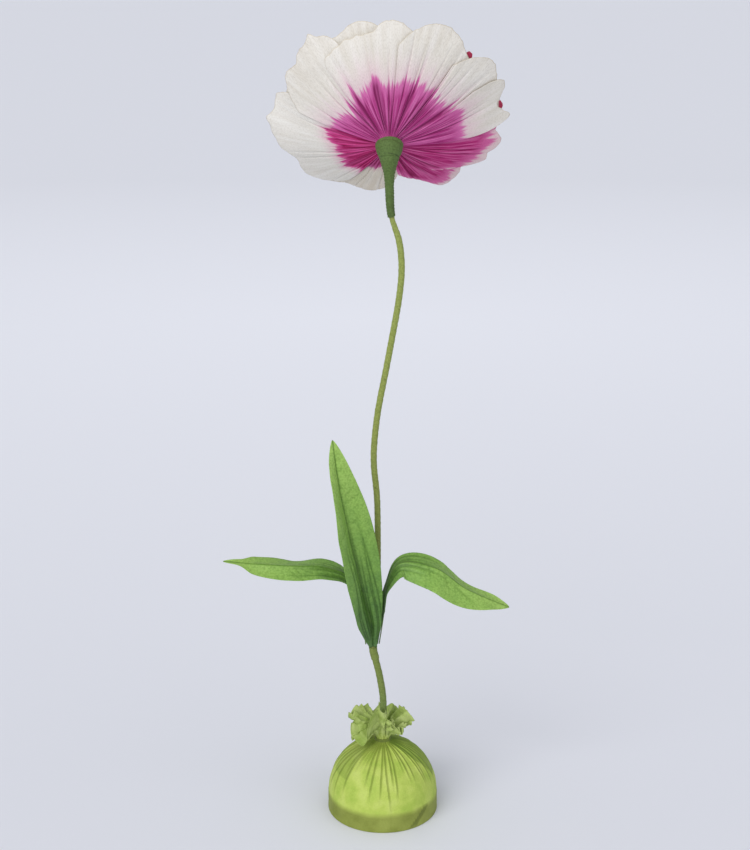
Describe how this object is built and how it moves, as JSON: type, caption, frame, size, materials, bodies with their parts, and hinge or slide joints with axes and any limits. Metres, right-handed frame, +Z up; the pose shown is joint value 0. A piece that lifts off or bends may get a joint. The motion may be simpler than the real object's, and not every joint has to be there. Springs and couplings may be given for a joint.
{
  "type": "paper flower",
  "caption": "Tall free-standing crepe paper flower: cupped head facing up and away, bent taped stem, wired leaves and a weighted tissue-wrapped base.",
  "frame": {"origin": "middle of the base's flat underside", "axes": "+Z up along the stem; +Y the way the flower's face leans, so its back is seen from -Y; +X to the right seen from -Y"},
  "size_m": [0.4295, 0.2244, 1.1963],
  "materials": {
    "cement": "matte",
    "foam": "matte",
    "tissue": "satin",
    "thread": "matte",
    "steel": "satin",
    "stem_tape": "matte",
    "calyx_tape": "matte",
    "bud_crepe": "matte",
    "stamen_crepe": "matte",
    "petal_crepe": "matte",
    "leaf_paper": "satin",
    "covered_wire": "matte"
  },
  "bodies": {
    "root": {"base_disc": "cement", "base_dome": "foam", "base_wrap": "tissue", "neck_tie": "thread", "stem_rod": "steel", "stem_wrap": "stem_tape", "leaf_tape": "stem_tape", "calyx_wrap": "calyx_tape", "centre_bud": "bud_crepe", "stamen_ring": "stamen_crepe", "outer_petal_1": "petal_crepe", "outer_petal_2": "petal_crepe", "outer_petal_3": "petal_crepe", "outer_petal_4": "petal_crepe", "outer_petal_5": "petal_crepe", "outer_petal_6": "petal_crepe", "outer_petal_7": "petal_crepe", "outer_petal_8": "petal_crepe", "outer_petal_9": "petal_crepe", "inner_petal_1": "petal_crepe", "inner_petal_2": "petal_crepe", "inner_petal_3": "petal_crepe", "inner_petal_4": "petal_crepe", "inner_petal_5": "petal_crepe", "inner_petal_6": "petal_crepe", "leaf_centre": "leaf_paper", "leaf_left": "leaf_paper", "leaf_right": "leaf_paper", "leaf_wire_centre": "covered_wire", "leaf_wire_left": "covered_wire", "leaf_wire_right": "covered_wire"}
  },
  "joints": []
}
